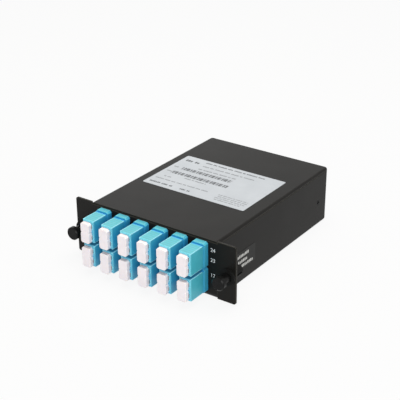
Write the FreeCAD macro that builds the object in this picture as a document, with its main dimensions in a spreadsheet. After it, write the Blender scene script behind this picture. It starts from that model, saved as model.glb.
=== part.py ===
"""Fibre cassette: a folded steel box with twelve duplex adapters on its front panel.

Frame: X runs along the front panel, Y goes from the panel into the box and Z is up.
The origin is the centre of the tray's underside.  All sizes are millimetres.
"""
import FreeCAD, Part
import Sketcher
import math
import os
import re

V = FreeCAD.Vector
TINY = 1e-3

SIZES = (
    # the box, folded from sheet steel
    ("box_width", 83.2), ("box_length", 115.6), ("box_height", 34.0), ("sheet_gauge", 1.0),
    ("floor_bend", 3.5), ("wall_bend", 1.6), ("rear_bend", 2.0), ("lid_bend", 1.3),
    ("lid_edge", 1.7), ("lid_setback", 0.3), ("skirt_depth", 7.0),
    ("tab_width", 12.0), ("tab_low", 10.0), ("seat_gap", 0.05), ("skirt_gap", 0.15), ("seam", 0.3),
    # the front panel and its two ears
    ("ear_width", 11.4), ("ear_low", 1.0), ("ear_rise", 0.2), ("ear_corner", 1.3), ("ear_slit", 0.1),
    # the field of duplex adapters
    ("columns", 6), ("field_margin", 3.5), ("field_floor", 3.35), ("field_roof", 1.35), ("row_gap", 1.9),
    ("adapter_width", 7.3), ("adapter_length", 27.2), ("adapter_reach", 15.1),
    ("window_gap", 0.1), ("collar_width", 8.2), ("collar_gap", 0.1), ("collar_depth", 3.3),
    ("collar_corner", 1.0), ("collar_bevel", 0.35), ("rim_bevel", 0.5), ("groove_width", 0.6),
    ("groove_depth", 0.4),
    ("port_size", 4.8), ("port_inset", 0.1), ("port_depth", 13.1), ("port_shift", 0.65),
    ("key_width", 2.6), ("key_depth", 1.15),
    # the spring clips behind the panel
    ("clip_gauge", 0.3), ("clip_length", 6.0), ("clip_drop", 10.0), ("clip_gap", 0.02),
    # the white covers on the ports
    ("cap_width", 5.75), ("cap_above", 0.95), ("cap_below", 0.05), ("cap_depth", 2.4),
    ("cap_shift", 0.4), ("cap_corner", 0.8), ("cap_edge", 0.15), ("cap_notch", 0.4),
    ("cap_notch_width", 1.2),
    ("plug_gap", 0.15), ("plug_length", 4.4), ("plug_wall", 0.7), ("plug_floor", 0.6),
    # the push-pull latch in each ear
    ("latch_setout", 6.8), ("latch_drop", 1.1), ("rivet_head", 4.4), ("rivet_head_depth", 1.5),
    ("rivet_shank", 3.4), ("finger_radius", 3.2), ("rivet_length", 9.0), ("rivet_hole_gap", 0.1),
    ("barb_proud", 0.35), ("barb_length", 1.2), ("barb_width", 2.4), ("barb_gap", 0.1),
    ("finger_slot", 0.9), ("knob_radius", 3.8), ("knob_reach", 10.0), ("knob_depth", 2.6),
    ("knob_edge", 0.5), ("neck_radius", 2.65), ("neck_gap", 0.1),
    # the two rear adapters
    ("rear_spread", 40.0), ("rear_height", 17.5), ("trunk_width", 12.8), ("trunk_height", 10.0),
    ("trunk_reach", 8.6), ("trunk_inside", 15.0), ("trunk_port_width", 9.6), ("trunk_port_height", 6.8),
    ("trunk_port_depth", 11.2), ("trunk_flange", 17.0), ("trunk_flange_depth", 1.6),
    ("snap_proud", 0.7), ("snap_length", 3.0), ("snap_height", 4.0), ("snap_gap", 0.1),
    ("trunk_window_width", 7.0), ("trunk_window_height", 3.0),
    ("trunk_cap_margin", 0.6), ("trunk_cap_depth", 3.0), ("trunk_plug_length", 4.6),
    ("trunk_plug_wall", 0.9),
    # fasteners
    ("screw_radius", 1.25), ("screw_head", 2.1), ("screw_length", 4.4), ("screw_gap", 0.04),
    ("screw_height", 14.8), ("screw_front", 21.0), ("screw_rear", 105.0), ("recess_span", 2.4),
    ("recess_width", 0.6), ("recess_depth", 0.5),
    # labels
    ("label_width", 68.4), ("label_length", 44.9), ("label_shift", 1.5), ("label_setback", 37.4),
    ("label_gauge", 0.1), ("label_corner", 1.0),
    ("seal_length", 30.0), ("seal_height", 10.6), ("seal_setback", 6.0), ("seal_low", 8.2),
    # the connectors inside
    ("plug_body", 4.5), ("plug_start", 3.0), ("plug_end", 15.0), ("boot_length", 12.0), ("boot_width", 2.8),
    ("trunk_body_width", 9.2), ("trunk_body_height", 6.4), ("trunk_body_length", 14.0),
    ("trunk_boot_length", 9.0), ("trunk_boot_width", 4.6), ("ferrule_width", 6.4), ("ferrule_height", 2.5),
    ("ferrule_reach", 1.0),
)

ALIASES = {alias for alias, _ in SIZES}

doc = FreeCAD.newDocument("fibre_cassette")
sheet = doc.addObject("Spreadsheet::Sheet", "sheet")
for number, (alias, value) in enumerate(SIZES, start=1):
    sheet.set(f"A{number}", alias)
    sheet.set(f"B{number}", str(value))
    sheet.setAlias(f"B{number}", alias)
doc.recompute()


def size(alias):
    """One value of the sheet, for the few shapes that are not bound by expressions."""
    return float(getattr(sheet, alias))


def words(text):
    """Turn plain names of sizes into references to the sheet."""
    return re.sub(r"[a-z_]+", lambda m: f"sheet.{m[0]}" if m[0] in ALIASES else m[0], text)


def bind(item, **links):
    """Bind properties of an object to sizes; a double underscore stands for a dot."""
    for prop, text in links.items():
        item.setExpression(prop.replace("__", "."), words(text))


# ---------------------------------------------------------------- sketches and features

def new_body(label, x="0", y="0", z="0"):
    body = doc.addObject("PartDesign::Body", label)
    body.Label = label
    bind(body, Placement__Base__x=x, Placement__Base__y=y, Placement__Base__z=z)
    return body


def new_sketch(body, name, role, offset="0"):
    """A sketch on one of the body's own origin planes, moved along the plane's normal."""
    sketch = body.newObject("Sketcher::SketchObject", name)
    plane = next(item for item in body.Origin.OriginFeatures if item.Role == role)
    sketch.AttachmentSupport = [(plane, "")]
    sketch.MapMode = "FlatFace"
    bind(sketch, AttachmentOffset__Base__z=offset)
    return sketch


def place(sketch, geometry, vertex, name, x, y):
    """Fix one point of a sketch at two expressions."""
    for kind, axis, text in (("DistanceX", "x", x), ("DistanceY", "y", y)):
        index = sketch.addConstraint(Sketcher.Constraint(kind, -1, 1, geometry, vertex, 1.0))
        sketch.renameConstraint(index, f"{name}_{axis}")
        sketch.setExpression(f"Constraints.{name}_{axis}", words(text))


def outline(sketch, name, corners):
    """A closed outline through corners given as pairs of expressions."""
    first, count = sketch.GeometryCount, len(corners)
    ring = [V(math.cos(math.tau * i / count), math.sin(math.tau * i / count), 0) for i in range(count)]
    for i in range(count):
        sketch.addGeometry(Part.LineSegment(ring[i], ring[(i + 1) % count]), False)
    for i in range(count):
        sketch.addConstraint(Sketcher.Constraint("Coincident", first + i, 2, first + (i + 1) % count, 1))
    for i, (x, y) in enumerate(corners):
        place(sketch, first + i, 1, f"{name}{i}", x, y)


def rectangle(sketch, name, left, right, low, high):
    outline(sketch, name, [(left, low), (right, low), (right, high), (left, high)])


def square(sketch, name, x, y, half):
    rectangle(sketch, name, f"{x} - {half}", f"{x} + {half}", f"{y} - {half}", f"{y} + {half}")


def centred(sketch, name, width, height):
    """A rectangle of a given width and height round the sketch's origin."""
    rectangle(sketch, name, f"-({width}) / 2", f"({width}) / 2", f"-({height}) / 2", f"({height}) / 2")


def circle(sketch, name, x, y, radius):
    index = sketch.addGeometry(Part.Circle(V(0, 0, 0), V(0, 0, 1), 1.0), False)
    place(sketch, index, 3, name, x, y)
    number = sketch.addConstraint(Sketcher.Constraint("Radius", index, 1.0))
    sketch.renameConstraint(number, f"{name}_radius")
    sketch.setExpression(f"Constraints.{name}_radius", words(radius))


def finish(body, feature):
    body.Tip = feature
    doc.recompute()
    return feature


def pad(body, name, sketch, length, along=True):
    feature = body.newObject("PartDesign::Pad", name)
    feature.Profile = sketch
    feature.Reversed = not along
    bind(feature, Length=length)
    return finish(body, feature)


def pocket(body, name, sketch, length, along=False):
    """Cut a sketch out of the body; a pocket that cuts nothing is a mistake."""
    before = body.Tip.Shape.Volume
    feature = body.newObject("PartDesign::Pocket", name)
    feature.Profile = sketch
    feature.Reversed = along
    bind(feature, Length=length)
    finish(body, feature)
    if feature.Shape.Volume >= before:
        raise RuntimeError(f"{body.Label}: {name} cuts nothing")
    return feature


def revolve(body, name, sketch, axis="V_Axis"):
    feature = body.newObject("PartDesign::Revolution", name)
    feature.Profile = sketch
    feature.ReferenceAxis = (sketch, [axis])
    feature.Angle = 360
    return finish(body, feature)


def edge_names(shape, test):
    return [f"Edge{i}" for i, edge in enumerate(shape.Edges, start=1) if test(edge)]


def dress(body, name, kind, test, text):
    """Fillet or chamfer the edges of the body's tip that pass a test."""
    base = body.Tip
    feature = body.newObject(f"PartDesign::{kind}", name)
    feature.Base = (base, edge_names(base.Shape, test))
    bind(feature, **{"Radius" if kind == "Fillet" else "Size": text})
    return finish(body, feature)


def runs_along(edge, axis):
    """True for a straight edge along an axis given as a vector."""
    if edge.Curve.TypeId != "Part::GeomLine":
        return False
    return abs(abs(edge.tangentAt(edge.FirstParameter) * axis) - 1) < 1e-6


def middle(edge):
    return edge.BoundBox.Center


def limits(body):
    """The box round the body's tip, drawn in by a little so that its own faces lie outside."""
    box = body.Tip.Shape.BoundBox
    box.enlarge(-TINY)
    return box


def repeat(body, name, originals, count, pitch, sketch, axis="H_Axis"):
    """Repeat features at equal steps along an axis of a sketch."""
    feature = body.newObject("PartDesign::LinearPattern", name)
    feature.Originals = originals
    feature.Direction = (sketch, [axis])
    feature.Mode = "Spacing"
    bind(feature, Offset=pitch, Occurrences=count)
    return finish(body, feature)


X, Y, Z = V(1, 0, 0), V(0, 1, 0), V(0, 0, 1)
FRONT = "-box_length / 2"
REAR = "box_length / 2"
WALL_TOP = "box_height - lid_edge - seam"
EAR_TOP = "(box_height + ear_rise)"
COLUMN_PITCH = "((box_width - 2 * field_margin) / columns)"
FIRST_COLUMN = f"-(columns - 1) * {COLUMN_PITCH} / 2"
ROW_PITCH = "((box_height - 2 * sheet_gauge - field_floor - field_roof + row_gap) / 2)"
ADAPTER_HEIGHT = f"({ROW_PITCH} - row_gap)"
COLLAR_HEIGHT = f"({ROW_PITCH} - collar_gap)"
LOWER_ROW = f"(sheet_gauge + field_floor + {ADAPTER_HEIGHT} / 2)"
ROWS = {"upper": f"({LOWER_ROW} + {ROW_PITCH})", "lower": LOWER_ROW}
PORT_X = "-port_shift"
PORT_PITCH = f"({ADAPTER_HEIGHT} / 2 - port_inset)"
PORT_HEIGHTS = (f"{PORT_PITCH} / 2", f"-{PORT_PITCH} / 2")
LATCH_X = "(box_width / 2 + latch_setout)"
LATCH_HEIGHT = f"((ear_low + {EAR_TOP}) / 2 - latch_drop)"


def multiply(body, name, originals, steps):
    """Repeat features over several directions; each step is (sketch, axis, count, pitch)."""
    feature = body.newObject("PartDesign::MultiTransform", name)
    moves = []
    for i, (sketch, axis, count, pitch) in enumerate(steps):
        move = body.newObject("PartDesign::LinearPattern", f"{name}_step{i}")
        move.Direction = (sketch, [axis])
        move.Mode = "Spacing"
        bind(move, Offset=pitch, Occurrences=count)
        moves.append(move)
    feature.Originals = originals
    feature.Transformations = moves
    return finish(body, feature)


# ---------------------------------------------------------------- the steel box

RELIEF = "(floor_bend + wall_bend)"


def base_tray():
    """Tray folded from one sheet: floor, two walls, rear wall and the front panel with its ears."""
    body = new_body("base_tray")
    plan = new_sketch(body, "tray_plan", "XY_Plane")
    rectangle(plan, "plan", "-box_width / 2", "box_width / 2", f"{FRONT} + {RELIEF}", REAR)
    pad(body, "tray_block", plan, WALL_TOP)
    box = limits(body)
    dress(body, "rear_corners", "Fillet", lambda e: runs_along(e, Z) and middle(e).y > box.YMax, "rear_bend")
    dress(body, "wall_bends", "Fillet", side_bends, "wall_bend")
    hollow(body, "tray_shell", "sheet_gauge")
    front_bend(body)
    front_plate(body)
    adapter_windows(body)
    rear_windows(body)
    side_holes(body)


def side_bends(edge):
    """The bottom edges of the block except the one across its front."""
    box = edge.BoundBox
    return box.ZMax < TINY and not (runs_along(edge, X) and box.YMin < 0)


def hollow(body, name, gauge):
    """Shell the tip inwards and open its top and its front."""
    base = body.Tip
    top = max(base.Shape.Faces, key=lambda face: face.CenterOfMass.z)
    front = min(base.Shape.Faces, key=lambda face: face.CenterOfMass.y)
    feature = body.newObject("PartDesign::Thickness", name)
    names = [f"Face{i}" for i, face in enumerate(base.Shape.Faces, start=1)
             if face.isSame(top) or face.isSame(front)]
    feature.Base = (base, names)
    feature.Reversed = True
    bind(feature, Value=gauge)
    return finish(body, feature)


def front_bend(body):
    """The bend between floor and front panel, and the walls' ends beside it."""
    side = new_sketch(body, "bend_profile", "YZ_Plane", "-box_width / 2")
    outline(side, "bend", [(FRONT, "0"), (f"{FRONT} + {RELIEF}", "0"), (f"{FRONT} + {RELIEF}", "sheet_gauge"),
                           (f"{FRONT} + sheet_gauge", "sheet_gauge"), (f"{FRONT} + sheet_gauge", RELIEF),
                           (FRONT, RELIEF)])
    pad(body, "bend_block", side, "box_width")
    front, gauge = -size("box_length") / 2, size("sheet_gauge")
    dress(body, "outer_bend", "Fillet", lambda e: lies_at(e, V(0, front, 0)), "floor_bend")
    dress(body, "inner_bend", "Fillet", lambda e: lies_at(e, V(0, front + gauge, gauge)),
          "floor_bend - sheet_gauge")
    for name, offset, along in (("left", "-box_width / 2", True), ("right", "box_width / 2", False)):
        end = new_sketch(body, f"{name}_wall_end", "YZ_Plane", offset)
        outline(end, "end", [(FRONT, "floor_bend"), (f"{FRONT} + floor_bend", "0"),
                             (f"{FRONT} + {RELIEF}", "0"), (f"{FRONT} + {RELIEF}", WALL_TOP),
                             (FRONT, WALL_TOP)])
        pad(body, f"{name}_wall", end, "sheet_gauge", along)


def lies_at(edge, place):
    """True for an edge along X whose middle is at a place."""
    return runs_along(edge, X) and middle(edge).distanceToPoint(place) < TINY


def front_plate(body):
    """The flat of the front panel, with an ear past each side wall and a bend relief below."""
    inner, outer = "box_width / 2 + ear_slit", "box_width / 2 + ear_width"
    top = "box_height - sheet_gauge - seat_gap"
    half = [(inner, RELIEF), (inner, "ear_low"), (outer, "ear_low"), (outer, EAR_TOP),
            (inner, EAR_TOP), (inner, top)]
    other = [(f"-({x})", z) for x, z in reversed(half)]
    sketch = new_sketch(body, "panel_outline", "XZ_Plane", "box_length / 2")
    outline(sketch, "panel", half + other)
    pad(body, "panel", sketch, "sheet_gauge", along=False)
    box = limits(body)
    dress(body, "ear_corners", "Fillet", lambda e: runs_along(e, Y) and abs(middle(e).x) > box.XMax,
          "ear_corner")


def adapter_windows(body):
    """One window for each duplex adapter, and a round hole for the latch in each ear."""
    sketch = new_sketch(body, "window_outlines", "XZ_Plane", "box_length / 2")
    for row, height in ROWS.items():
        wide, tall = "(adapter_width / 2 + window_gap)", f"({ADAPTER_HEIGHT} / 2 + window_gap)"
        rectangle(sketch, row, f"{FIRST_COLUMN} - {wide}", f"{FIRST_COLUMN} + {wide}",
                  f"{height} - {tall}", f"{height} + {tall}")
    first = pocket(body, "first_windows", sketch, "sheet_gauge")
    repeat(body, "windows", [first], "columns", COLUMN_PITCH, sketch)
    sketch = new_sketch(body, "latch_hole_outlines", "XZ_Plane", "box_length / 2")
    for side, sign in (("left", "-"), ("right", "")):
        circle(sketch, side, f"{sign}{LATCH_X}", LATCH_HEIGHT, "rivet_shank + rivet_hole_gap")
    pocket(body, "latch_holes", sketch, "sheet_gauge")


def rear_windows(body):
    """Two windows for the trunk adapters in the rear wall."""
    sketch = new_sketch(body, "rear_outlines", "XZ_Plane", "-box_length / 2")
    for side, sign in (("left", "-"), ("right", "")):
        centre = f"{sign}rear_spread / 2"
        wide, tall = "(trunk_width / 2 + window_gap)", "(trunk_height / 2 + window_gap)"
        rectangle(sketch, side, f"{centre} - {wide}", f"{centre} + {wide}",
                  f"rear_height - {tall}", f"rear_height + {tall}")
    pocket(body, "rear_windows", sketch, "sheet_gauge", along=True)


def side_holes(body):
    """Countersunk holes in both side walls for the screws of the lid."""
    sketch = new_sketch(body, "side_hole_outlines", "YZ_Plane")
    for end in ("front", "rear"):
        circle(sketch, end, f"{FRONT} + screw_{end}", "screw_height", "screw_radius + screw_gap")
    for side, along in (("left", False), ("right", True)):
        pocket(body, f"{side}_screw_holes", sketch, "box_width", along)
    dress(body, "countersinks", "Chamfer", screw_rim, "screw_head - screw_radius")


def screw_rim(edge):
    """True for the outer rim of a side screw's hole."""
    if edge.Curve.TypeId != "Part::GeomCircle" or abs(middle(edge).x) < size("box_width") / 2 - TINY:
        return False
    return edge.Curve.Radius < size("screw_radius") + size("screw_gap") + TINY


def top_lid():
    """Lid with rounded edges that sit on the walls, and a skirt with four tabs inside them."""
    body = new_body("top_lid")
    plan = new_sketch(body, "lid_plan", "XY_Plane", "box_height - lid_edge")
    rectangle(plan, "plan", "-box_width / 2", "box_width / 2", f"{FRONT} + lid_setback", REAR)
    pad(body, "lid_block", plan, "lid_edge")
    box = limits(body)
    dress(body, "lid_corners", "Fillet", lambda e: runs_along(e, Z) and middle(e).y > box.YMax, "rear_bend")
    dress(body, "lid_bends", "Fillet",
          lambda e: e.BoundBox.ZMin > box.ZMax and not (runs_along(e, X) and middle(e).y < 0), "lid_bend")
    inner = "box_width / 2 - 2 * sheet_gauge - skirt_gap"
    recess = new_sketch(body, "lid_recess_outline", "XY_Plane", "box_height - lid_edge")
    rectangle(recess, "recess", f"-({inner})", inner, FRONT, f"{REAR} - sheet_gauge - skirt_gap")
    pocket(body, "lid_recess", recess, "lid_edge - sheet_gauge", along=True)
    front = new_sketch(body, "lid_front_outline", "XY_Plane", "box_height - lid_edge")
    rectangle(front, "front", "-box_width / 2 - ear_slit", "box_width / 2 + ear_slit", FRONT,
              f"{FRONT} + sheet_gauge + seat_gap")
    pocket(body, "lid_front", front, "lid_edge - sheet_gauge", along=True)
    for side, sign, along in (("left", "-", False), ("right", "", True)):
        skirt = new_sketch(body, f"{side}_skirt_outline", "YZ_Plane", f"{sign}({inner})")
        outline(skirt, "skirt", skirt_corners())
        pad(body, f"{side}_skirt", skirt, "sheet_gauge", along)
    holes = new_sketch(body, "tab_hole_outlines", "YZ_Plane")
    for end in ("front", "rear"):
        circle(holes, end, f"{FRONT} + screw_{end}", "screw_height", "screw_radius + screw_gap")
    for side, along in (("left", False), ("right", True)):
        pocket(body, f"{side}_tab_holes", holes, "box_width", along)


def skirt_corners():
    """Side view of a skirt: a strip under the lid with a tab at each screw."""
    under, low = "box_height - lid_edge + seat_gap", "box_height - lid_edge - skirt_depth"
    start, end = f"{FRONT} + sheet_gauge + wall_bend", f"{REAR} - sheet_gauge - rear_bend"
    corners = [(start, under), (start, low)]
    for name in ("screw_front", "screw_rear"):
        left, right = f"{FRONT} + {name} - tab_width / 2", f"{FRONT} + {name} + tab_width / 2"
        corners += [(left, low), (left, "tab_low"), (right, "tab_low"), (right, low)]
    return corners + [(end, low), (end, under)]


# ---------------------------------------------------------------- duplex adapters and their caps

def keyed_port(sketch, name, height):
    """A square port with the key slot of the connector's latch on its right."""
    left, right = f"{PORT_X} - port_size / 2", f"{PORT_X} + port_size / 2"
    low, high = f"{height} - port_size / 2", f"{height} + port_size / 2"
    key_low, key_high = f"{height} - key_width / 2", f"{height} + key_width / 2"
    key = f"{right} + key_depth"
    outline(sketch, name, [(left, low), (right, low), (right, key_low), (key, key_low), (key, key_high),
                           (right, key_high), (right, high), (left, high)])


def adapter(label, x, z):
    """Moulded duplex adapter: housing, collar against the panel and two ports at each end."""
    body = new_body(label, x, FRONT, z)
    face = new_sketch(body, f"{label}_face", "XZ_Plane", "adapter_reach")
    centred(face, "face", "adapter_width", ADAPTER_HEIGHT)
    pad(body, f"{label}_housing", face, "adapter_length", along=False)
    box = limits(body)
    dress(body, f"{label}_rim", "Chamfer", lambda e: middle(e).y < box.YMin, "rim_bevel")
    adapter_collar(body, label)
    front_ports = new_sketch(body, f"{label}_front_outlines", "XZ_Plane", "adapter_reach")
    rear_ports = new_sketch(body, f"{label}_rear_outlines", "XZ_Plane", "adapter_reach - adapter_length")
    for i, height in enumerate(PORT_HEIGHTS):
        keyed_port(front_ports, f"port{i}_", height)
        square(rear_ports, f"port{i}_", PORT_X, height, "port_size / 2")
    pocket(body, f"{label}_front_ports", front_ports, "port_depth")
    pocket(body, f"{label}_rear_ports", rear_ports, "port_depth", along=True)


def adapter_collar(body, label):
    """The collar that stops an adapter at the panel, with a groove before it above and below."""
    ring = new_sketch(body, f"{label}_ring", "XZ_Plane", "collar_depth")
    centred(ring, "ring", "collar_width", COLLAR_HEIGHT)
    pad(body, f"{label}_collar", ring, "collar_depth", along=False)
    box, front = limits(body), -size("collar_depth") + TINY
    dress(body, f"{label}_collar_corners", "Chamfer",
          lambda e: runs_along(e, Y) and abs(middle(e).x) > box.XMax and abs(middle(e).z) > box.ZMax,
          "collar_corner")
    dress(body, f"{label}_collar_bevel", "Chamfer",
          lambda e: runs_along(e, X) and abs(middle(e).z) > box.ZMax and middle(e).y < front, "collar_bevel")
    grooves = new_sketch(body, f"{label}_groove_outlines", "YZ_Plane", "collar_width / 2")
    start, floor = "-collar_depth - groove_width", f"({ADAPTER_HEIGHT} / 2 - groove_depth)"
    rectangle(grooves, "above", start, "-collar_depth", floor, f"{COLLAR_HEIGHT} / 2")
    rectangle(grooves, "below", start, "-collar_depth", f"-{COLLAR_HEIGHT} / 2", f"-{floor}")
    pocket(body, f"{label}_grooves", grooves, "collar_width")


def cap_outline(sketch):
    """A cap's face: a tall block with a small notch half way up each long side."""
    left, right = "-cap_shift - cap_width / 2", "-cap_shift + cap_width / 2"
    low, high = f"-({ADAPTER_HEIGHT} / 2 - cap_below)", f"{ADAPTER_HEIGHT} / 2 - cap_above"
    below, above = "-cap_notch_width / 2", "cap_notch_width / 2"
    outline(sketch, "cap", [(left, low), (right, low), (right, below), (f"{right} - cap_notch", "0"),
                            (right, above), (right, high), (left, high), (left, above),
                            (f"{left} + cap_notch", "0"), (left, below)])


def dust_cap(label, x, z):
    """Moulded cap over one adapter, with a hollow plug in each of its two ports."""
    body = new_body(label, x, FRONT, z)
    face = new_sketch(body, f"{label}_face", "XZ_Plane", "adapter_reach")
    cap_outline(face)
    pad(body, f"{label}_block", face, "cap_depth")
    box = limits(body)
    dress(body, f"{label}_corners", "Chamfer",
          lambda e: runs_along(e, Y) and not box.ZMin < middle(e).z < box.ZMax, "cap_corner")
    dress(body, f"{label}_edges", "Chamfer", lambda e: e.BoundBox.YMax < box.YMin, "cap_edge")
    half = "(port_size / 2 - plug_gap)"
    plugs = new_sketch(body, f"{label}_plug_outlines", "XZ_Plane", "adapter_reach")
    bores = new_sketch(body, f"{label}_plug_bores", "XZ_Plane", "adapter_reach - plug_length")
    for i, height in enumerate(PORT_HEIGHTS):
        square(plugs, f"plug{i}_", PORT_X, height, half)
        square(bores, f"bore{i}_", PORT_X, height, f"({half} - plug_wall)")
    pad(body, f"{label}_plugs", plugs, "plug_length", along=False)
    pocket(body, f"{label}_bores", bores, "plug_length - plug_floor", along=True)


def field_steps(sketch):
    """The steps that carry a feature from the first adapter to all of them."""
    return [(sketch, "H_Axis", "columns", COLUMN_PITCH), (sketch, "V_Axis", "2", ROW_PITCH)]


def adapter_clips():
    """Spring steel clips that straddle each adapter behind the panel and hold it there."""
    body = new_body("adapter_clips", FIRST_COLUMN, f"{FRONT} + sheet_gauge", LOWER_ROW)
    inner, top = "(adapter_width / 2 + clip_gap)", f"({ADAPTER_HEIGHT} / 2 + clip_gap)"
    outer, low = f"({inner} + clip_gauge)", f"({top} - clip_drop)"
    shape = new_sketch(body, "clip_outline", "XZ_Plane", "-clip_gap")
    outline(shape, "clip", [(f"-{outer}", low), (f"-{inner}", low), (f"-{inner}", top), (inner, top),
                            (inner, low), (outer, low), (outer, f"{top} + clip_gauge"),
                            (f"-{outer}", f"{top} + clip_gauge")])
    first = pad(body, "clip", shape, "clip_length", along=False)
    multiply(body, "clips", [first], field_steps(shape))


# ---------------------------------------------------------------- push-pull latches

def latch_rivet(label, x):
    """Moulded rivet in an ear: a round head in front and four barbed fingers behind."""
    body = new_body(label, x, FRONT, LATCH_HEIGHT)
    start = "(sheet_gauge + barb_gap)"
    sketch = new_sketch(body, f"{label}_profile", "XY_Plane")
    outline(sketch, "rivet", [("0", "-rivet_head_depth"), ("rivet_head", "-rivet_head_depth"),
                              ("rivet_head", "0"), ("rivet_shank", "0"),
                              ("rivet_shank", f"{start} + barb_length"),
                              ("finger_radius", f"{start} + barb_length"),
                              ("finger_radius", "rivet_length"), ("0", "rivet_length")])
    revolve(body, f"{label}_turned", sketch)
    barbs = new_sketch(body, f"{label}_barb_outline", "XZ_Plane", f"-{start}")
    outline(barbs, "barbs", cross_corners("(rivet_shank + barb_proud)", "(barb_width / 2)"))
    pad(body, f"{label}_barbs", barbs, "barb_length", along=False)
    bore = new_sketch(body, f"{label}_bore_outline", "XZ_Plane", "-rivet_length")
    circle(bore, "bore", "0", "0", "neck_radius + neck_gap")
    pocket(body, f"{label}_bore", bore, "rivet_length + rivet_head_depth", along=True)
    slots = new_sketch(body, f"{label}_slot_outline", "XZ_Plane", "-rivet_length")
    outline(slots, "slots", cross_corners("rivet_head", "(finger_slot / 2)"))
    pocket(body, f"{label}_slots", slots, f"rivet_length - {start} - barb_length / 2", along=True)


def cross_corners(arm, half):
    """Corners of an upright cross round a sketch's origin."""
    return [(arm, f"-{half}"), (arm, half), (half, half), (half, arm), (f"-{half}", arm), (f"-{half}", half),
            (f"-{arm}", half), (f"-{arm}", f"-{half}"), (f"-{half}", f"-{half}"), (f"-{half}", f"-{arm}"),
            (half, f"-{arm}"), (half, f"-{half}")]


def latch_plunger(label, x):
    """Pull knob with a straight neck that slides in the rivet and spreads its fingers."""
    body = new_body(label, x, FRONT, LATCH_HEIGHT)
    back = "-knob_reach + knob_depth"
    sketch = new_sketch(body, f"{label}_profile", "XY_Plane")
    outline(sketch, "knob", [("0", "-knob_reach"), ("knob_radius - knob_edge", "-knob_reach"),
                             ("knob_radius", "-knob_reach + knob_edge"), ("knob_radius", back),
                             ("neck_radius", back), ("neck_radius", "rivet_length"), ("0", "rivet_length")])
    revolve(body, f"{label}_turned", sketch)


# ---------------------------------------------------------------- trunk adapters in the rear wall

def trunk_adapter(label, x):
    """Rear adapter for a multi-fibre plug: a flange outside the wall and two snaps inside it."""
    body = new_body(label, x, REAR, "rear_height")
    face = new_sketch(body, f"{label}_face", "XZ_Plane", "-trunk_reach")
    centred(face, "face", "trunk_width", "trunk_height")
    pad(body, f"{label}_housing", face, "trunk_reach + trunk_inside")
    plate = new_sketch(body, f"{label}_plate", "XZ_Plane", "-trunk_flange_depth")
    centred(plate, "plate", "trunk_flange", "trunk_height")
    pad(body, f"{label}_flange", plate, "trunk_flange_depth")
    for end, offset, along in (("outer", "-trunk_reach", True), ("inner", "trunk_inside", False)):
        port = new_sketch(body, f"{label}_{end}_outline", "XZ_Plane", offset)
        centred(port, "port", "trunk_port_width", "trunk_port_height")
        pocket(body, f"{label}_{end}_port", port, "trunk_port_depth", along)
    window = new_sketch(body, f"{label}_window_outline", "XZ_Plane", "-trunk_reach")
    centred(window, "window", "trunk_window_width", "trunk_window_height")
    pocket(body, f"{label}_window", window, "trunk_reach + trunk_inside", along=True)
    snaps = new_sketch(body, f"{label}_snap_outlines", "XY_Plane", "-snap_height / 2")
    root, start = "trunk_width / 2", "-(sheet_gauge + snap_gap)"
    tip, end = f"({root} + snap_proud)", f"{start} - snap_length"
    outline(snaps, "right", [(root, start), (root, end), (tip, start)])
    outline(snaps, "left", [(f"-{root}", start), (f"-{tip}", start), (f"-{root}", end)])
    pad(body, f"{label}_snaps", snaps, "snap_height")


def trunk_cap(label, x):
    """Cover for a rear adapter, with one hollow plug in its port."""
    body = new_body(label, x, f"{REAR} + trunk_reach", "rear_height")
    face = new_sketch(body, f"{label}_face", "XZ_Plane")
    centred(face, "face", "trunk_width - 2 * trunk_cap_margin", "trunk_height - 2 * trunk_cap_margin")
    pad(body, f"{label}_block", face, "trunk_cap_depth", along=False)
    wide, tall = "trunk_port_width - 2 * plug_gap", "trunk_port_height - 2 * plug_gap"
    plug = new_sketch(body, f"{label}_plug_outline", "XZ_Plane")
    centred(plug, "plug", wide, tall)
    pad(body, f"{label}_plug", plug, "trunk_plug_length")
    bore = new_sketch(body, f"{label}_bore_outline", "XZ_Plane", "trunk_plug_length")
    centred(bore, "bore", f"{wide} - 2 * trunk_plug_wall", f"{tall} - 2 * trunk_plug_wall")
    pocket(body, f"{label}_bore", bore, "trunk_plug_length - plug_floor")


def trunk_plug(label, x):
    """Multi-fibre plug on the inside of a rear adapter: ferrule, body and boot."""
    body = new_body(label, x, f"{REAR} - trunk_inside", "rear_height")
    seat = "(trunk_port_depth - trunk_plug_length)"
    nose = new_sketch(body, f"{label}_nose_outline", "XZ_Plane", f"-{seat}")
    centred(nose, "nose", "trunk_body_width", "trunk_body_height")
    pad(body, f"{label}_body", nose, "trunk_body_length")
    tip = new_sketch(body, f"{label}_ferrule_outline", "XZ_Plane", f"-{seat}")
    centred(tip, "tip", "ferrule_width", "ferrule_height")
    pad(body, f"{label}_ferrule", tip, "trunk_plug_length + ferrule_reach", along=False)
    boot = new_sketch(body, f"{label}_boot_outline", "XZ_Plane", f"trunk_body_length - {seat}")
    centred(boot, "boot", "trunk_boot_width", "trunk_boot_width")
    pad(body, f"{label}_boot", boot, "trunk_boot_length")


# ---------------------------------------------------------------- connectors inside

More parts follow.
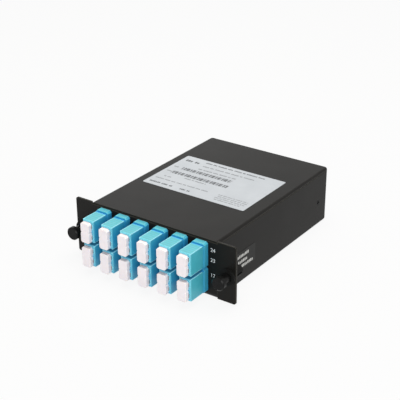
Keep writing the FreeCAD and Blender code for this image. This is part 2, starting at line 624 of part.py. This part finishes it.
def inner_plugs(label, height):
    """Connectors in the rear ports of one row of adapters: square body and slimmer boot."""
    body = new_body(label, FIRST_COLUMN, FRONT, height)
    low = PORT_HEIGHTS[1]
    sketch = new_sketch(body, f"{label}_body_outline", "XZ_Plane", "-plug_start")
    square(sketch, "plug", PORT_X, low, "plug_body / 2")
    block = pad(body, f"{label}_body", sketch, "plug_end - plug_start", along=False)
    boot_sketch = new_sketch(body, f"{label}_boot_outline", "XZ_Plane", "-plug_end")
    square(boot_sketch, "boot", PORT_X, low, "boot_width / 2")
    boot = pad(body, f"{label}_boot", boot_sketch, "boot_length", along=False)
    multiply(body, f"{label}_all", [block, boot], [(sketch, "H_Axis", "columns", COLUMN_PITCH),
                                                   (sketch, "V_Axis", "2", PORT_PITCH)])


# ---------------------------------------------------------------- fasteners and labels

def lid_screws():
    """Flush screws that hold the lid's tabs to the walls, two on each side."""
    body = new_body("lid_screws", "0", f"{FRONT} + screw_front", "screw_height")
    sketch = new_sketch(body, "screw_profile", "XY_Plane")
    face, flare = "box_width / 2", "(screw_head - screw_radius)"
    corners = [(face, "0"), (face, "screw_head"), (f"{face} - {flare}", "screw_radius"),
               (f"{face} - screw_length", "screw_radius"), (f"{face} - screw_length", "0")]
    outline(sketch, "right", corners)
    outline(sketch, "left", [(f"-({x})", y) for x, y in reversed(corners)])
    features = [revolve(body, "front_screws", sketch, "H_Axis")]
    for side, sign, along in (("left", "-", True), ("right", "", False)):
        cross = new_sketch(body, f"{side}_recess_outline", "YZ_Plane", f"{sign}box_width / 2")
        outline(cross, "cross", cross_corners("(recess_span / 2)", "(recess_width / 2)"))
        features.append(pocket(body, f"{side}_recess", cross, "recess_depth", along))
    repeat(body, "all_screws", features, "2", "screw_rear - screw_front", sketch, "V_Axis")


def top_label():
    """Thin label with rounded corners on the lid."""
    body = new_body("top_label", "-label_shift", f"{FRONT} + label_setback", "box_height")
    sketch = new_sketch(body, "label_outline", "XY_Plane")
    rectangle(sketch, "label", "-label_width / 2", "label_width / 2", "0", "label_length")
    pad(body, "label_sheet", sketch, "label_gauge")
    dress(body, "label_corners", "Fillet", lambda e: runs_along(e, Z), "label_corner")


def side_seal():
    """Dark sticker on the right wall."""
    body = new_body("side_seal", "box_width / 2", f"{FRONT} + seal_setback", "seal_low")
    sketch = new_sketch(body, "seal_outline", "YZ_Plane")
    rectangle(sketch, "seal", "0", "seal_length", "0", "seal_height")
    pad(body, "seal_sheet", sketch, "label_gauge")


# ---------------------------------------------------------------- the whole cassette

def columns_of(height):
    """Places of the adapters of one row, from left to right."""
    return [(f"{FIRST_COLUMN} + {i} * {COLUMN_PITCH}", height) for i in range(int(size("columns")))]


def build():
    base_tray()
    top_lid()
    spots = columns_of(ROWS["lower"]) + columns_of(ROWS["upper"])
    for number, (x, z) in enumerate(spots, start=1):
        adapter(f"lc_adapter_{number:02d}", x, z)
        dust_cap(f"dust_cap_{number:02d}", x, z)
    adapter_clips()
    inner_plugs("inner_plugs_lower", ROWS["lower"])
    inner_plugs("inner_plugs_upper", ROWS["upper"])
    for side, sign in (("left", "-"), ("right", "")):
        latch_rivet(f"latch_rivet_{side}", f"{sign}{LATCH_X}")
        latch_plunger(f"latch_plunger_{side}", f"{sign}{LATCH_X}")
        trunk_adapter(f"mpo_adapter_{side}", f"{sign}rear_spread / 2")
        trunk_cap(f"mpo_cap_{side}", f"{sign}rear_spread / 2")
        trunk_plug(f"mpo_plug_{side}", f"{sign}rear_spread / 2")
    lid_screws()
    top_label()
    side_seal()


def sub_parts():
    """Every labelled sub-part of the cassette."""
    return [item for item in doc.Objects if item.TypeId == "PartDesign::Body"]


def check():
    """Stop when an object failed to compute or a shape is empty or invalid."""
    for item in doc.Objects:
        if {"Invalid", "Error"} & set(item.State):
            raise RuntimeError(f"{item.Label}: {item.State}")
    for item in sub_parts():
        if item.Shape.isNull() or not item.Shape.isValid() or not item.Shape.Solids:
            raise RuntimeError(f"{item.Label}: bad shape")


build()
doc.recompute()
check()
os.makedirs("parts", exist_ok=True)
for part in sub_parts():
    part.Shape.exportStep(f"parts/{part.Label}.step")
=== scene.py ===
"""Fibre cassette: finishes, labels, print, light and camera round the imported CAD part.

Metres, in the part's own frame: X along the front panel, Y into the box, Z up.
"""

import math

import bmesh
import bpy
from mathutils import Matrix, Vector


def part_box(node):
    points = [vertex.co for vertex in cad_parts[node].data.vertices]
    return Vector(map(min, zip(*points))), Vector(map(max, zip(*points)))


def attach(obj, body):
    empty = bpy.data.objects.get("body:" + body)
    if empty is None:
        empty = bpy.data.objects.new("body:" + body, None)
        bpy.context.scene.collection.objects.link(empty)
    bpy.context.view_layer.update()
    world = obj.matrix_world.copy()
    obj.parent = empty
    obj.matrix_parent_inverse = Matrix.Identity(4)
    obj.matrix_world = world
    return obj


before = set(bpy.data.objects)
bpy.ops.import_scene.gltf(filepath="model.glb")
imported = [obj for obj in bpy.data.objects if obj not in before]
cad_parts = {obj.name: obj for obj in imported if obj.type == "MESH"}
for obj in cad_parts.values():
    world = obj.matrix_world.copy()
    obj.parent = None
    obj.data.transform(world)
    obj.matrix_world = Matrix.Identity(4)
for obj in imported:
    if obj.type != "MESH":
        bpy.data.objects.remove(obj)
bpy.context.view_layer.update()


# ---------------------------------------------------------------- tray and lid
# The tray and its lid are folded from sheet steel and powder coated in a fine black.  The
# coat has a slight orange-peel surface; a painted highlight makes it paler along folds and cut edges.

MM = 0.001
NOISE_SPAN = (0.3, 0.7)      # where nearly all of a noise texture's values lie
COLOUR_SPAN = (0.35, 0.65)   # the narrower part of them that a colour blend uses
EDGE_SPAN = (1.0, 0.85)      # how far the plain and the rounded surface agree, off and on an edge
ROUNDING_SAMPLES = 8


def blank_material(name, roughness):
    """A new material with a plain shader of one roughness."""
    material = bpy.data.materials.new(name)
    material.use_nodes = True
    shader_of(material).inputs["Roughness"].default_value = roughness
    return material


def shader_of(material):
    return material.node_tree.nodes["Principled BSDF"]


def add_node(owner, kind, **values):
    """A new node of a material or world; in a socket's name an underscore stands for a space."""
    node = owner.node_tree.nodes.new(f"ShaderNode{kind}")
    for socket, value in values.items():
        node.inputs[socket.replace("_", " ")].default_value = value
    return node


def join(owner, output, socket):
    owner.node_tree.links.new(output, socket)


def spread(owner, value, start, end, low=0.0, high=1.0):
    """Map a value that runs from start to end onto low to high, and hold it past them."""
    span = add_node(owner, "MapRange", From_Min=start, From_Max=end, To_Min=low, To_Max=high)
    join(owner, value, span.inputs["Value"])
    return span.outputs["Result"]


def product(owner, value, other):
    """Multiply a value by a number or by another value."""
    times = add_node(owner, "Math")
    times.operation = "MULTIPLY"
    join(owner, value, times.inputs[0])
    if isinstance(other, float):
        times.inputs[1].default_value = other
    else:
        join(owner, other, times.inputs[1])
    return times.outputs["Value"]


def noise(material, size, detail=3.0):
    """Noise with blotches of about one size in metres, fixed to the piece."""
    place = add_node(material, "TexCoord")
    texture = add_node(material, "TexNoise", Scale=1.0 / size, Detail=detail)
    join(material, place.outputs["Object"], texture.inputs["Vector"])
    return texture.outputs["Fac"]


def blend_colours(material, factor, low, high):
    """Colour the shader from one colour to another along a factor."""
    ramp = add_node(material, "ValToRGB")
    for stop, position, colour in zip(ramp.color_ramp.elements, COLOUR_SPAN, (low, high)):
        stop.position = position
        stop.color = (*colour, 1.0)
    join(material, factor, ramp.inputs["Fac"])
    join(material, ramp.outputs["Color"], shader_of(material).inputs["Base Color"])


def vary_gloss(material, factor, low, high):
    """Let the roughness wander between two values."""
    join(material, spread(material, factor, *NOISE_SPAN, low, high), shader_of(material).inputs["Roughness"])


def rounded_normal(material, radius):
    """The direction of the surface, with its edges rounded to a radius."""
    rounding = add_node(material, "Bevel", Radius=radius)
    rounding.samples = ROUNDING_SAMPLES
    return rounding.outputs["Normal"]


def raise_surface(material, height, depth, strength, edge=None):
    """Bump of a depth in metres, over edges rounded to a radius where one is given."""
    bump = add_node(material, "Bump", Strength=strength, Distance=depth)
    join(material, height, bump.inputs["Height"])
    if edge:
        join(material, rounded_normal(material, edge), bump.inputs["Normal"])
    join(material, bump.outputs["Normal"], shader_of(material).inputs["Normal"])


def edge_mask(material, radius):
    """1 along the edges of the piece and 0 away from them."""
    surface = add_node(material, "NewGeometry")
    agreement = add_node(material, "VectorMath")
    agreement.operation = "DOT_PRODUCT"
    join(material, rounded_normal(material, radius), agreement.inputs[0])
    join(material, surface.outputs["Normal"], agreement.inputs[1])
    return spread(material, agreement.outputs["Value"], *EDGE_SPAN)


def tint(material, mask, colour, strength):
    """Blend the base colour towards another one where a mask is 1."""
    base = shader_of(material).inputs["Base Color"]
    blend = add_node(material, "Mix")
    blend.data_type = "RGBA"
    join(material, product(material, mask, strength), blend.inputs["Factor"])
    join(material, base.links[0].from_socket, blend.inputs["A"])
    blend.inputs["B"].default_value = (*colour, 1.0)
    join(material, blend.outputs["Result"], base)


def dress(material, *names):
    """Give CAD nodes a finish."""
    for name in names:
        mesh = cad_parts[name].data
        mesh.materials.clear()
        mesh.materials.append(material)


powder_coat = blank_material("powder_coat", 0.45)
blend_colours(powder_coat, noise(powder_coat, 18 * MM), (0.0076, 0.0072, 0.0064), (0.0098, 0.0093, 0.0082))
# painted highlight: the coat is tinted paler along the folds and cut edges
tint(powder_coat, edge_mask(powder_coat, 0.6 * MM), (0.060, 0.056, 0.044), 0.8)
shader_of(powder_coat).inputs["Specular IOR Level"].default_value = 0.12
shader_of(powder_coat).inputs["Specular Tint"].default_value = (1.0, 0.98, 0.97, 1.0)
vary_gloss(powder_coat, noise(powder_coat, 9 * MM), 0.43, 0.46)
raise_surface(powder_coat, noise(powder_coat, 0.35 * MM, 2.0), 0.02 * MM, 0.35, edge=0.35 * MM)
dress(powder_coat, "base_tray", "top_lid")


# ---------------------------------------------------------------- duplex adapters
# Twelve adapters moulded in aqua polycarbonate and pushed into the panel's windows up to
# their collars.  Painted highlights make the edges pale, painted shade makes close walls and
# the strip with the groove before a collar bluer, and faint mould lines cross the tops.

COLLAR_DEPTH = 3.3 * MM
STRIP_WIDTH = 1.3 * MM         # of the bluer strip before a collar, which takes in the groove
PANEL_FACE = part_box("base_tray")[0].y
COLLAR_FRONT = PANEL_FACE - COLLAR_DEPTH
STRIP_FRONT = COLLAR_FRONT - STRIP_WIDTH
SHELTER_SPAN = (0.95, 0.35)    # how open a face is, out in the open and deep between walls
SHELTER_SAMPLES = 12
TOP_SPAN = (0.6, 0.9)          # how far a face looks up, for a mask of 0 and of 1
WAVE_RATE = 20.0               # radians that a wave texture of scale 1 runs through in a metre


def shelter_mask(material, reach):
    """1 deep between walls that stand close together and 0 on an open face."""
    shelter = add_node(material, "AmbientOcclusion", Distance=reach)
    shelter.samples = SHELTER_SAMPLES
    return spread(material, shelter.outputs["AO"], *SHELTER_SPAN)


def top_mask(material):
    """1 on the faces that look up and 0 on the others."""
    surface = add_node(material, "NewGeometry")
    parts = add_node(material, "SeparateXYZ")
    join(material, surface.outputs["Normal"], parts.inputs["Vector"])
    return spread(material, parts.outputs["Z"], *TOP_SPAN)


def length_mask(material, start, end):
    """0 at one place along the box and 1 at another, and held past them."""
    place = add_node(material, "TexCoord")
    parts = add_node(material, "SeparateXYZ")
    join(material, place.outputs["Object"], parts.inputs["Vector"])
    return spread(material, parts.outputs["Y"], start, end)


def line_mask(material, pitch):
    """Soft, slightly uneven lines across the box, at a pitch along it."""
    place = add_node(material, "TexCoord")
    wave = add_node(material, "TexWave", Scale=math.tau / WAVE_RATE / pitch, Distortion=0.6)
    wave.bands_direction = "Y"
    join(material, place.outputs["Object"], wave.inputs["Vector"])
    return wave.outputs["Fac"]


# What the aqua is tinted towards: painted shade between close walls, the mould lines, a
# painted highlight along the edges and painted shade in the strip before a collar.
AQUA_PAINTED_SHADE = (0.018, 0.290, 0.600)
AQUA_LINES = (0.100, 0.370, 0.355)
AQUA_PAINTED_HIGHLIGHT = (0.38, 0.86, 1.0)
AQUA_PAINTED_GROOVE_SHADE = (0.030, 0.380, 0.850)

aqua = blank_material("aqua_polycarbonate", 0.38)
blend_colours(aqua, noise(aqua, 6 * MM), (0.060, 0.443, 0.540), (0.074, 0.474, 0.576))
# painted shade: deep between close walls the aqua is tinted darker and bluer
tint(aqua, shelter_mask(aqua, 8 * MM), AQUA_PAINTED_SHADE, 0.85)
tops = top_mask(aqua)
tint(aqua, product(aqua, tops, line_mask(aqua, 1.8 * MM)), AQUA_LINES, 0.65)
painted_highlight_edges = edge_mask(aqua, 1.1 * MM)
before_strip = length_mask(aqua, STRIP_FRONT, STRIP_FRONT - 0.4 * MM)
# painted highlight: the edges are tinted pale, near the front of the housings and along the tops
tint(aqua, product(aqua, painted_highlight_edges, before_strip), AQUA_PAINTED_HIGHLIGHT, 0.85)
tint(aqua, product(aqua, painted_highlight_edges, tops), AQUA_PAINTED_HIGHLIGHT, 0.35)
behind_strip_front = length_mask(aqua, STRIP_FRONT, STRIP_FRONT + 0.2 * MM)
before_collar = length_mask(aqua, COLLAR_FRONT + 0.1 * MM, COLLAR_FRONT - 0.1 * MM)
strip = product(aqua, behind_strip_front, before_collar)
# painted shade: the tops of the strip with the groove before a collar are tinted bluer
tint(aqua, product(aqua, strip, tops), AQUA_PAINTED_GROOVE_SHADE, 0.8)
vary_gloss(aqua, noise(aqua, 4 * MM), 0.34, 0.42)
raise_surface(aqua, noise(aqua, 2.5 * MM, 2.0), 0.03 * MM, 0.25, edge=0.3 * MM)
dress(aqua, *[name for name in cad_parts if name.startswith("lc_adapter")])


# ---------------------------------------------------------------- dust caps
# Twelve caps moulded in soft white polyethylene, a little milky and with a fine matt
# texture, and pushed into the ports.  The connectors in the rear ports are as white.

milk_white = blank_material("white_polyethylene", 0.5)
blend_colours(milk_white, noise(milk_white, 5 * MM), (0.87, 0.815, 0.845), (0.91, 0.855, 0.885))
# painted light: the caps' edges are tinted a warm cream, as light shining through them
tint(milk_white, edge_mask(milk_white, 0.5 * MM), (0.90, 0.84, 0.68), 0.5)
# painted shade: the caps' tops are tinted darker and warmer
tint(milk_white, top_mask(milk_white), (0.80, 0.70, 0.68), 0.7)
shader_of(milk_white).inputs["Subsurface Weight"].default_value = 0.15
shader_of(milk_white).inputs["Subsurface Radius"].default_value = (1.2 * MM, 1.0 * MM, 0.8 * MM)
shader_of(milk_white).inputs["Subsurface Scale"].default_value = 1.0
raise_surface(milk_white, noise(milk_white, 0.5 * MM, 2.0), 0.015 * MM, 0.4)
dress(milk_white, *[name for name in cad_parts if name.startswith("dust_cap")])
dress(milk_white, "inner_plugs_lower", "inner_plugs_upper")


# ---------------------------------------------------------------- latches
# Push-pull knobs moulded in black nylon, shinier than the powder coat.  They slide in
# rivets of a duller nylon, which are pushed through the ears.

black_nylon = blank_material("black_nylon", 0.35)
blend_colours(black_nylon, noise(black_nylon, 4 * MM), (0.0045, 0.0045, 0.0045), (0.007, 0.007, 0.007))
shader_of(black_nylon).inputs["Specular IOR Level"].default_value = 0.12
vary_gloss(black_nylon, noise(black_nylon, 2 * MM), 0.18, 0.28)
raise_surface(black_nylon, noise(black_nylon, 0.6 * MM, 2.0), 0.02 * MM, 0.4)
dress(black_nylon, "latch_plunger_left", "latch_plunger_right")

dull_nylon = blank_material("dull_black_nylon", 0.65)
blend_colours(dull_nylon, noise(dull_nylon, 4 * MM), (0.0070, 0.0069, 0.0066), (0.0095, 0.0094, 0.0090))
shader_of(dull_nylon).inputs["Specular IOR Level"].default_value = 0.1
vary_gloss(dull_nylon, noise(dull_nylon, 2 * MM), 0.6, 0.7)
raise_surface(dull_nylon, noise(dull_nylon, 0.6 * MM, 2.0), 0.02 * MM, 0.4)
dress(dull_nylon, "latch_rivet_left", "latch_rivet_right")


# ---------------------------------------------------------------- trunk adapters
# Black nylon housings snapped into the rear wall, with a black plug on the inner side and a
# dark grey polyethylene cap pushed into the outer port.

dress(black_nylon, "mpo_adapter_left", "mpo_adapter_right", "mpo_plug_left", "mpo_plug_right")

grey_cap = blank_material("grey_polyethylene", 0.55)
blend_colours(grey_cap, noise(grey_cap, 4 * MM), (0.045, 0.045, 0.048), (0.060, 0.060, 0.064))
raise_surface(grey_cap, noise(grey_cap, 0.5 * MM, 2.0), 0.02 * MM, 0.4)
dress(grey_cap, "mpo_cap_left", "mpo_cap_right")


# ---------------------------------------------------------------- screws and clips
# Countersunk steel screws with a black oxide finish hold the lid, and bright spring steel
# clips hold the adapters behind the panel.

black_oxide = blank_material("black_oxide", 0.4)
shader_of(black_oxide).inputs["Specular IOR Level"].default_value = 0.1
blend_colours(black_oxide, noise(black_oxide, 1.5 * MM), (0.003, 0.003, 0.003), (0.006, 0.006, 0.006))
vary_gloss(black_oxide, noise(black_oxide, 0.8 * MM), 0.3, 0.5)
dress(black_oxide, "lid_screws")

spring_steel = blank_material("spring_steel", 0.3)
shader_of(spring_steel).inputs["Metallic"].default_value = 1.0
blend_colours(spring_steel, noise(spring_steel, 2 * MM), (0.50, 0.50, 0.51), (0.62, 0.62, 0.63))
vary_gloss(spring_steel, noise(spring_steel, 1 * MM), 0.25, 0.38)
dress(spring_steel, "adapter_clips")


# ---------------------------------------------------------------- label on the lid
# Silver-white polyester film with a satin face, stuck on the lid and printed in grey: lines
# of very small words and two bar codes, all of them plain blocks that spell nothing.

film = blank_material("silver_film", 0.42)
blend_colours(film, noise(film, 12 * MM), (0.42, 0.445, 0.475), (0.45, 0.475, 0.505))
vary_gloss(film, noise(film, 5 * MM), 0.36, 0.46)
raise_surface(film, noise(film, 6 * MM, 1.0), 0.02 * MM, 0.3)
dress(film, "top_label")

ink = blank_material("grey_ink", 0.55)
blend_colours(ink, noise(ink, 0.8 * MM), (0.04, 0.045, 0.05), (0.08, 0.085, 0.09))
pale_ink = blank_material("pale_grey_ink", 0.55)
blend_colours(pale_ink, noise(pale_ink, 0.8 * MM), (0.16, 0.17, 0.18), (0.22, 0.23, 0.24))

INK_DEPTH = 0.02 * MM
WORD_LENGTHS = (5, 3, 7, 4, 6, 2, 8, 5, 4)
LETTER_STEP = 0.62                 # from letter to letter, as a share of the line's height
LETTER_WIDTH = 0.72                # of that step
LETTER_FOOT = 0.36                 # below the line's middle, as a share of its height
LETTER_TOPS = (0.36, 0.5, 0.5)     # above the middle, for one letter after another
BAR_WIDTHS = (2, 1, 3, 1, 1, 2, 4, 1, 2, 1, 1, 3)
BAR_UNIT = 0.22 * MM
SPACE_UNIT = 0.18 * MM
SPACE_LAG = 5                      # a space takes its width from this many bars further on

# Each row is (left, right, distance from the rear edge, height) on the label, in millimetres.
LABEL_WORDS = (
    (15.5, 57.5, 3.3, 1.4), (3.0, 13.0, 6.2, 2.6), (2.5, 18.5, 41.2, 1.7), (23.5, 30.5, 41.2, 1.6))
LABEL_PALE_WORDS = (
    (16.5, 52.5, 8.2, 1.4), (16.5, 43.0, 12.8, 1.4), (2.2, 5.6, 17.2, 1.3), (2.2, 5.6, 24.3, 1.3),
    (17.5, 32.5, 28.2, 1.2), (5.5, 11.0, 31.5, 1.3), (2.5, 40.0, 35.7, 1.2), (46.0, 66.0, 35.4, 0.9),
    (47.0, 66.0, 37.4, 0.9), (46.0, 66.0, 39.4, 0.9), (47.0, 64.0, 41.4, 0.9))
LABEL_BARS = ((8.0, 42.2, 17.2, 3.4), (5.5, 44.5, 24.3, 3.4))


def block(mesh, low, high):
    """A flat printed block between two corners."""
    made = bmesh.ops.create_cube(mesh, size=1.0)["verts"]
    low, high = Vector(low), Vector(high)
    bmesh.ops.scale(mesh, vec=high - low, verts=made)
    bmesh.ops.translate(mesh, vec=(low + high) / 2, verts=made)


def words(start, end, middle, height, seed):
    """Blocks for the letters of one line of small words, as (left, right, low, high)."""
    letters, at, word = [], start, seed
    step = height * LETTER_STEP
    while at < end - step:
        for letter in range(WORD_LENGTHS[word % len(WORD_LENGTHS)]):
            if at > end - step:
                break
            rise = height * LETTER_TOPS[(letter + word) % len(LETTER_TOPS)]
            letters.append((at, at + step * LETTER_WIDTH, middle - height * LETTER_FOOT, middle + rise))
            at += step
        at += step
        word += 1
    return letters


def bars(start, end, middle, height, seed):
    """Blocks for one bar code, as (left, right, low, high)."""
    strokes, at, bar = [], start, seed
    while at < end:
        wide = BAR_WIDTHS[bar % len(BAR_WIDTHS)] * BAR_UNIT
        strokes.append((at, min(at + wide, end), middle - height / 2, middle + height / 2))
        at += wide + BAR_WIDTHS[(bar + SPACE_LAG) % len(BAR_WIDTHS)] * SPACE_UNIT
        bar += 1
    return strokes


def finish_piece(name, mesh, material):
    """Make an object of a mesh, give it its finish and let it ride on the cassette."""
    data = bpy.data.meshes.new(name)
    mesh.to_mesh(data)
    mesh.free()
    data.materials.append(material)
    piece = bpy.data.objects.new(name, data)
    bpy.context.scene.collection.objects.link(piece)
    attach(piece, "cassette")
    return piece


def print_on_label(name, rows, blocks_of, material):
    """Print rows of words or bars on the label as one piece."""
    low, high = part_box("top_label")
    mesh = bmesh.new()
    for seed, (left, right, back, height) in enumerate(rows):
        row = (low.x + left * MM, low.x + right * MM, high.y - back * MM, height * MM)
        for x0, x1, y0, y1 in blocks_of(*row, seed):
            block(mesh, (x0, y0, high.z), (x1, y1, high.z + INK_DEPTH))
    piece = finish_piece(name, mesh, material)


print_on_label("label_words", LABEL_WORDS, words, ink)
print_on_label("label_pale_words", LABEL_PALE_WORDS, words, pale_ink)
print_on_label("label_bar_codes", LABEL_BARS, bars, ink)


# ---------------------------------------------------------------- sticker on the right wall
# Thin dark film stuck on the wall, nearly of the wall's colour, with three short lines of
# pale words printed on it as plain blocks.

dark_film = blank_material("dark_film", 0.42)
blend_colours(dark_film, noise(dark_film, 8 * MM), (0.0085, 0.0083, 0.0076), (0.0115, 0.0112, 0.0102))
shader_of(dark_film).inputs["Specular IOR Level"].default_value = 0.17
dress(dark_film, "side_seal")

silver_ink = blank_material("silver_ink", 0.45)
blend_colours(silver_ink, noise(silver_ink, 1 * MM), (0.50, 0.50, 0.48), (0.62, 0.62, 0.60))

# Each line is (start, end, distance from the top edge) in millimetres and its count of letters.
SEAL_LINES = ((11.6, 23.8, 2.6, 9), (13.4, 22.4, 5.9, 6), (14.0, 28.0, 8.9, 10))
SEAL_LETTER_HEIGHT = 1.7 * MM
SEAL_LETTER_WIDTH = 0.7                  # of the step from letter to letter
SEAL_LETTER_TOPS = (0.5, 0.3, 0.5, 0.5)  # above the middle, for one letter after another

seal_low, seal_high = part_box("side_seal")
mesh = bmesh.new()
for start, end, down, letters in SEAL_LINES:
    step = (end - start) * MM / letters
    middle = seal_high.z - down * MM
    foot = middle - SEAL_LETTER_HEIGHT / 2
    for letter in range(letters):
        front = seal_low.y + start * MM + letter * step
        back = front + SEAL_LETTER_WIDTH * step
        top = middle + SEAL_LETTER_HEIGHT * SEAL_LETTER_TOPS[letter % len(SEAL_LETTER_TOPS)]
        block(mesh, (seal_high.x, front, foot), (seal_high.x + INK_DEPTH, back, top))
seal_words = finish_piece("seal_words", mesh, silver_ink)


# ---------------------------------------------------------------- port numbers on the panel
# Plain white numbers, screen printed on the panel to the right of the last adapters: two
# beside the upper one and one beside the lower one.

white_ink = blank_material("white_ink", 0.5)
blend_colours(white_ink, noise(white_ink, 0.7 * MM), (0.72, 0.72, 0.72), (0.84, 0.84, 0.84))

NUMBER_HEIGHT = 2.1 * MM
NUMERAL_SHARE = 0.7       # of a font's size that its numerals take up in height
NUMBER_GAP = 2.95 * MM    # from the side of a collar to the middle of a number
# Each number, the adapter it stands beside, and how far above that adapter's middle.
NUMBERS = (("24", "lc_adapter_12", 3.1 * MM), ("23", "lc_adapter_12", -2.7 * MM),
           ("12", "lc_adapter_06", 3.1 * MM))

mesh = bmesh.new()
for text, adapter, rise in NUMBERS:
    low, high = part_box(adapter)
    curve = bpy.data.curves.new("number", "FONT")
    curve.body = text
    curve.size = NUMBER_HEIGHT / NUMERAL_SHARE
    curve.align_x = "CENTER"
    curve.align_y = "CENTER"
    curve.extrude = INK_DEPTH / 2
    carrier = bpy.data.objects.new("number", curve)
    bpy.context.scene.collection.objects.link(carrier)
    flat = bpy.data.meshes.new_from_object(carrier.evaluated_get(bpy.context.evaluated_depsgraph_get()))
    centre = (high.x + NUMBER_GAP, PANEL_FACE - INK_DEPTH / 2, (low.z + high.z) / 2 + rise)
    flat.transform(Matrix.Translation(centre) @ Matrix.Rotation(math.radians(90), 4, "X"))
    mesh.from_mesh(flat)
    bpy.data.objects.remove(carrier)
    bpy.data.curves.remove(curve)
    bpy.data.meshes.remove(flat)
numbers = finish_piece("port_numbers", mesh, white_ink)


# ---------------------------------------------------------------- floor, light and camera
# A plain white floor under soft light: a pale sky, a large softbox overhead, a weaker one
# in front and a faint one behind.  Floor and sky look whiter than the light they give.

WHITE = (1.0, 1.0, 1.0, 1.0)
FLOOR_SIZE = 3.0                       # from the middle to each side
FLOOR_GREY = (0.62, 0.62, 0.62, 1.0)   # what the floor gives back of the light on it
FLOOR_GLOW = 0.9                       # the share of plain white in the floor as it is seen
SKY_LIGHT = 0.5                        # how strong the sky is as a light
SKY_SEEN = 0.97                        # how strong it is as it is seen


def seen_directly(owner):
    """1 for what the camera sees, also in a reflection or through glass, and 0 for light."""
    path = add_node(owner, "LightPath")
    seen = path.outputs["Is Camera Ray"]
    for ray in ("Is Glossy Ray", "Is Transmission Ray"):
        either = add_node(owner, "Math")
        either.operation = "MAXIMUM"
        join(owner, seen, either.inputs[0])
        join(owner, path.outputs[ray], either.inputs[1])
        seen = either.outputs["Value"]
    return seen


pale_floor = bpy.data.materials.new("pale_floor")
pale_floor.use_nodes = True
pale_floor.node_tree.nodes.clear()
paper = add_node(pale_floor, "BsdfDiffuse", Color=FLOOR_GREY)
glow = add_node(pale_floor, "Emission", Color=WHITE)
mix = add_node(pale_floor, "MixShader")
output = add_node(pale_floor, "OutputMaterial")
glow_share = product(pale_floor, seen_directly(pale_floor), FLOOR_GLOW)
join(pale_floor, glow_share, mix.inputs["Fac"])
join(pale_floor, paper.outputs["BSDF"], mix.inputs[1])
join(pale_floor, glow.outputs["Emission"], mix.inputs[2])
join(pale_floor, mix.outputs["Shader"], output.inputs["Surface"])

mesh = bmesh.new()
bmesh.ops.create_grid(mesh, x_segments=2, y_segments=2, size=FLOOR_SIZE)
floor_data = bpy.data.meshes.new("floor")
mesh.to_mesh(floor_data)
mesh.free()
floor_data.materials.append(pale_floor)
floor = bpy.data.objects.new("floor", floor_data)
bpy.context.scene.collection.objects.link(floor)

world = bpy.data.worlds.new("studio")
bpy.context.scene.world = world
world.use_nodes = True
sky = world.node_tree.nodes["Background"]
sky.inputs["Color"].default_value = WHITE
sky_strength = spread(world, seen_directly(world), 0.0, 1.0, SKY_LIGHT, SKY_SEEN)
join(world, sky_strength, sky.inputs["Strength"])


def softbox(name, place, width, power, colour=(1.0, 1.0, 1.0)):
    """A square area light turned towards the cassette."""
    data = bpy.data.lights.new(name, "AREA")
    data.size = width
    data.energy = power
    data.color = colour
    lamp = bpy.data.objects.new(name, data)
    bpy.context.scene.collection.objects.link(lamp)
    lamp.location = place
    lamp.rotation_euler = (-Vector(place)).to_track_quat("-Z", "Y").to_euler()


softbox("overhead", (0.05, 0.05, 0.9), width=0.7, power=6.6, colour=(1.0, 0.98, 0.93))
softbox("front_right", (0.6, -0.8, 0.35), width=0.6, power=4.6)
softbox("back_left", (-1.1, 1.1, 0.6), width=0.7, power=1.0)

CAMERA_PLACE = (0.2997, -0.4375, 0.2767)
YAW, PITCH, ROLL = 0.616, -0.445, -0.005
camera_data = bpy.data.cameras.new("camera")
camera_data.sensor_width = 36.0
camera_data.lens = 92.5
camera_data.clip_start = 0.01
camera = bpy.data.objects.new("camera", camera_data)
bpy.context.scene.collection.objects.link(camera)
camera.matrix_world = (Matrix.Translation(CAMERA_PLACE) @ Matrix.Rotation(YAW, 4, "Z")
                       @ Matrix.Rotation(math.pi / 2 + PITCH, 4, "X") @ Matrix.Rotation(ROLL, 4, "Z"))
bpy.context.scene.camera = camera
bpy.context.scene.view_settings.view_transform = "Standard"
